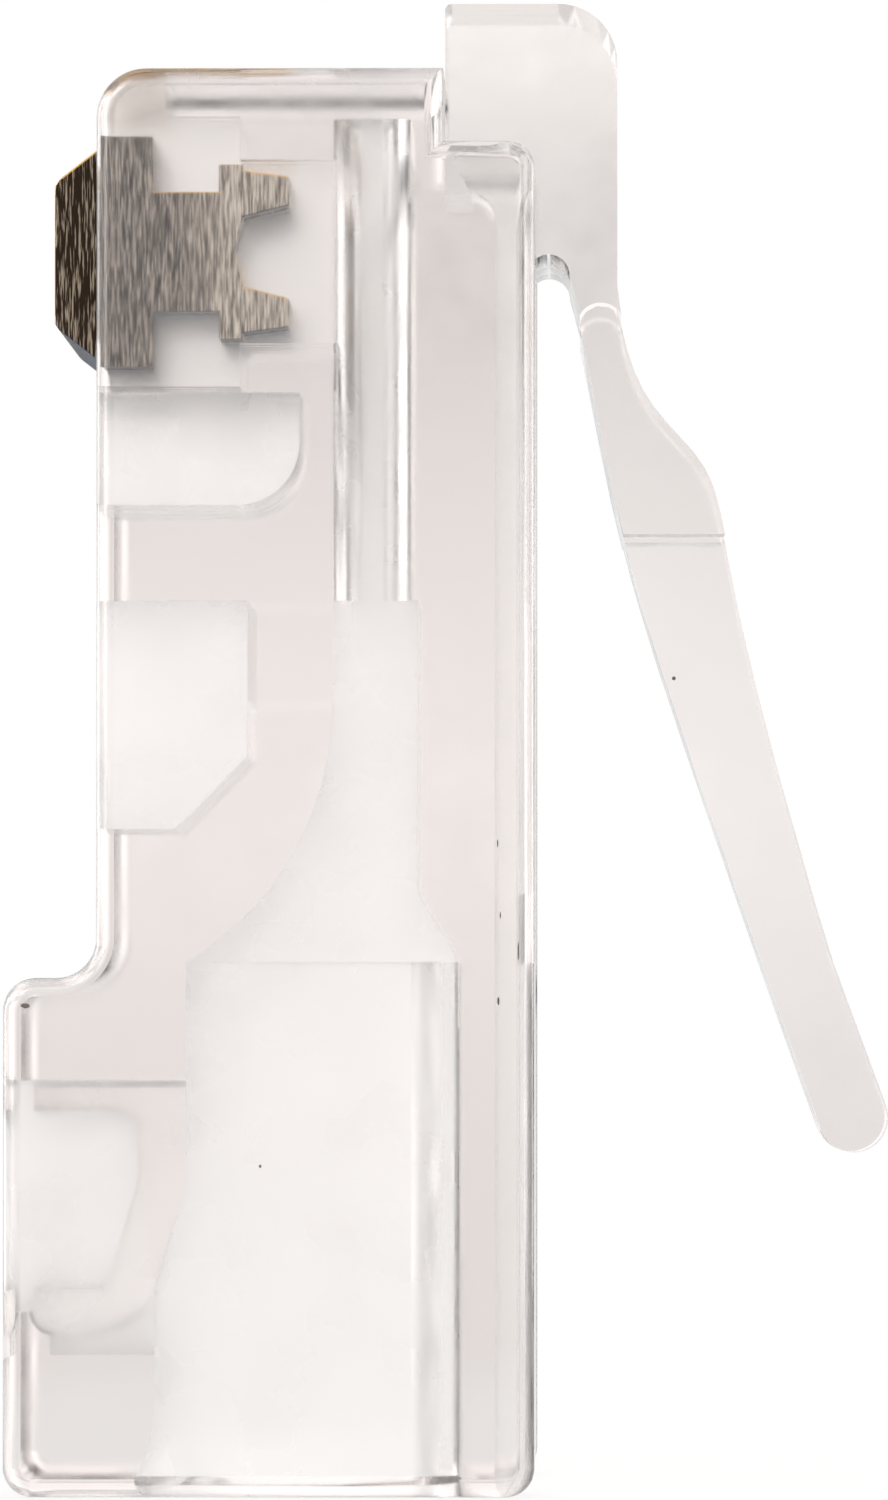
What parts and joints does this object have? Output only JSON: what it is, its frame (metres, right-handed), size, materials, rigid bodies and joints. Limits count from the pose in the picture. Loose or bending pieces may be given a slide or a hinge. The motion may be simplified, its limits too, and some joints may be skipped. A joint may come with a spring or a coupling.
{
  "type": "rj45 modular plug",
  "caption": "Clear moulded modular plug for twisted-pair cable, uncrimped, with blade contacts, a sprung latch lever and strain-relief clamps.",
  "frame": {"origin": "middle of the cable-end face, on the plug's centre line", "axes": "+Z runs from the cable end to the nose, the way the plug goes into a jack; -X is the contact side and +X the latch side; Y is the width"},
  "size_m": [0.0134, 0.0116, 0.0227],
  "materials": {
    "clear_polycarbonate": "clear, moulded, glossy",
    "gold_plated_bronze": "rolled phosphor bronze strip with a thin gold flash"
  },
  "bodies": {
    "plug_body": {"housing": "clear_polycarbonate"},
    "latch": {"locking_tab": "clear_polycarbonate"},
    "conductor_clamp": {"conductor_clamp": "clear_polycarbonate"},
    "jacket_clamp": {"jacket_clamp": "clear_polycarbonate"},
    "contact_1_blade": {"contact_1": "gold_plated_bronze"},
    "contact_2_blade": {"contact_2": "gold_plated_bronze"},
    "contact_3_blade": {"contact_3": "gold_plated_bronze"},
    "contact_4_blade": {"contact_4": "gold_plated_bronze"},
    "contact_5_blade": {"contact_5": "gold_plated_bronze"},
    "contact_6_blade": {"contact_6": "gold_plated_bronze"},
    "contact_7_blade": {"contact_7": "gold_plated_bronze"},
    "contact_8_blade": {"contact_8": "gold_plated_bronze"}
  },
  "joints": [
    {"name": "latch_flex", "type": "hinge", "parent": "plug_body", "child": "latch", "pos_m": [0.005, 0, 0.01775], "axis": [0, 1, 0], "range_deg": [0, 20], "stiffness_Nm_per_rad": 0.1},
    {"name": "jacket_clamp_tip", "type": "hinge", "parent": "plug_body", "child": "jacket_clamp", "pos_m": [-0.0033, 0, 0.00275], "axis": [0, 1, 0], "range_deg": [0, 20]},
    {"name": "conductor_clamp_press", "type": "slide", "parent": "plug_body", "child": "conductor_clamp", "axis": [1, 0, 0], "range_m": [0, 0.00065]},
    {"name": "contact_1_crimp", "type": "slide", "parent": "plug_body", "child": "contact_1_blade", "axis": [1, 0, 0], "range_m": [0, 0.00129]},
    {"name": "contact_2_crimp", "type": "slide", "parent": "plug_body", "child": "contact_2_blade", "axis": [1, 0, 0], "range_m": [0, 0.00129]},
    {"name": "contact_3_crimp", "type": "slide", "parent": "plug_body", "child": "contact_3_blade", "axis": [1, 0, 0], "range_m": [0, 0.00129]},
    {"name": "contact_4_crimp", "type": "slide", "parent": "plug_body", "child": "contact_4_blade", "axis": [1, 0, 0], "range_m": [0, 0.00129]},
    {"name": "contact_5_crimp", "type": "slide", "parent": "plug_body", "child": "contact_5_blade", "axis": [1, 0, 0], "range_m": [0, 0.00129]},
    {"name": "contact_6_crimp", "type": "slide", "parent": "plug_body", "child": "contact_6_blade", "axis": [1, 0, 0], "range_m": [0, 0.00129]},
    {"name": "contact_7_crimp", "type": "slide", "parent": "plug_body", "child": "contact_7_blade", "axis": [1, 0, 0], "range_m": [0, 0.00129]},
    {"name": "contact_8_crimp", "type": "slide", "parent": "plug_body", "child": "contact_8_blade", "axis": [1, 0, 0], "range_m": [0, 0.00129]}
  ]
}
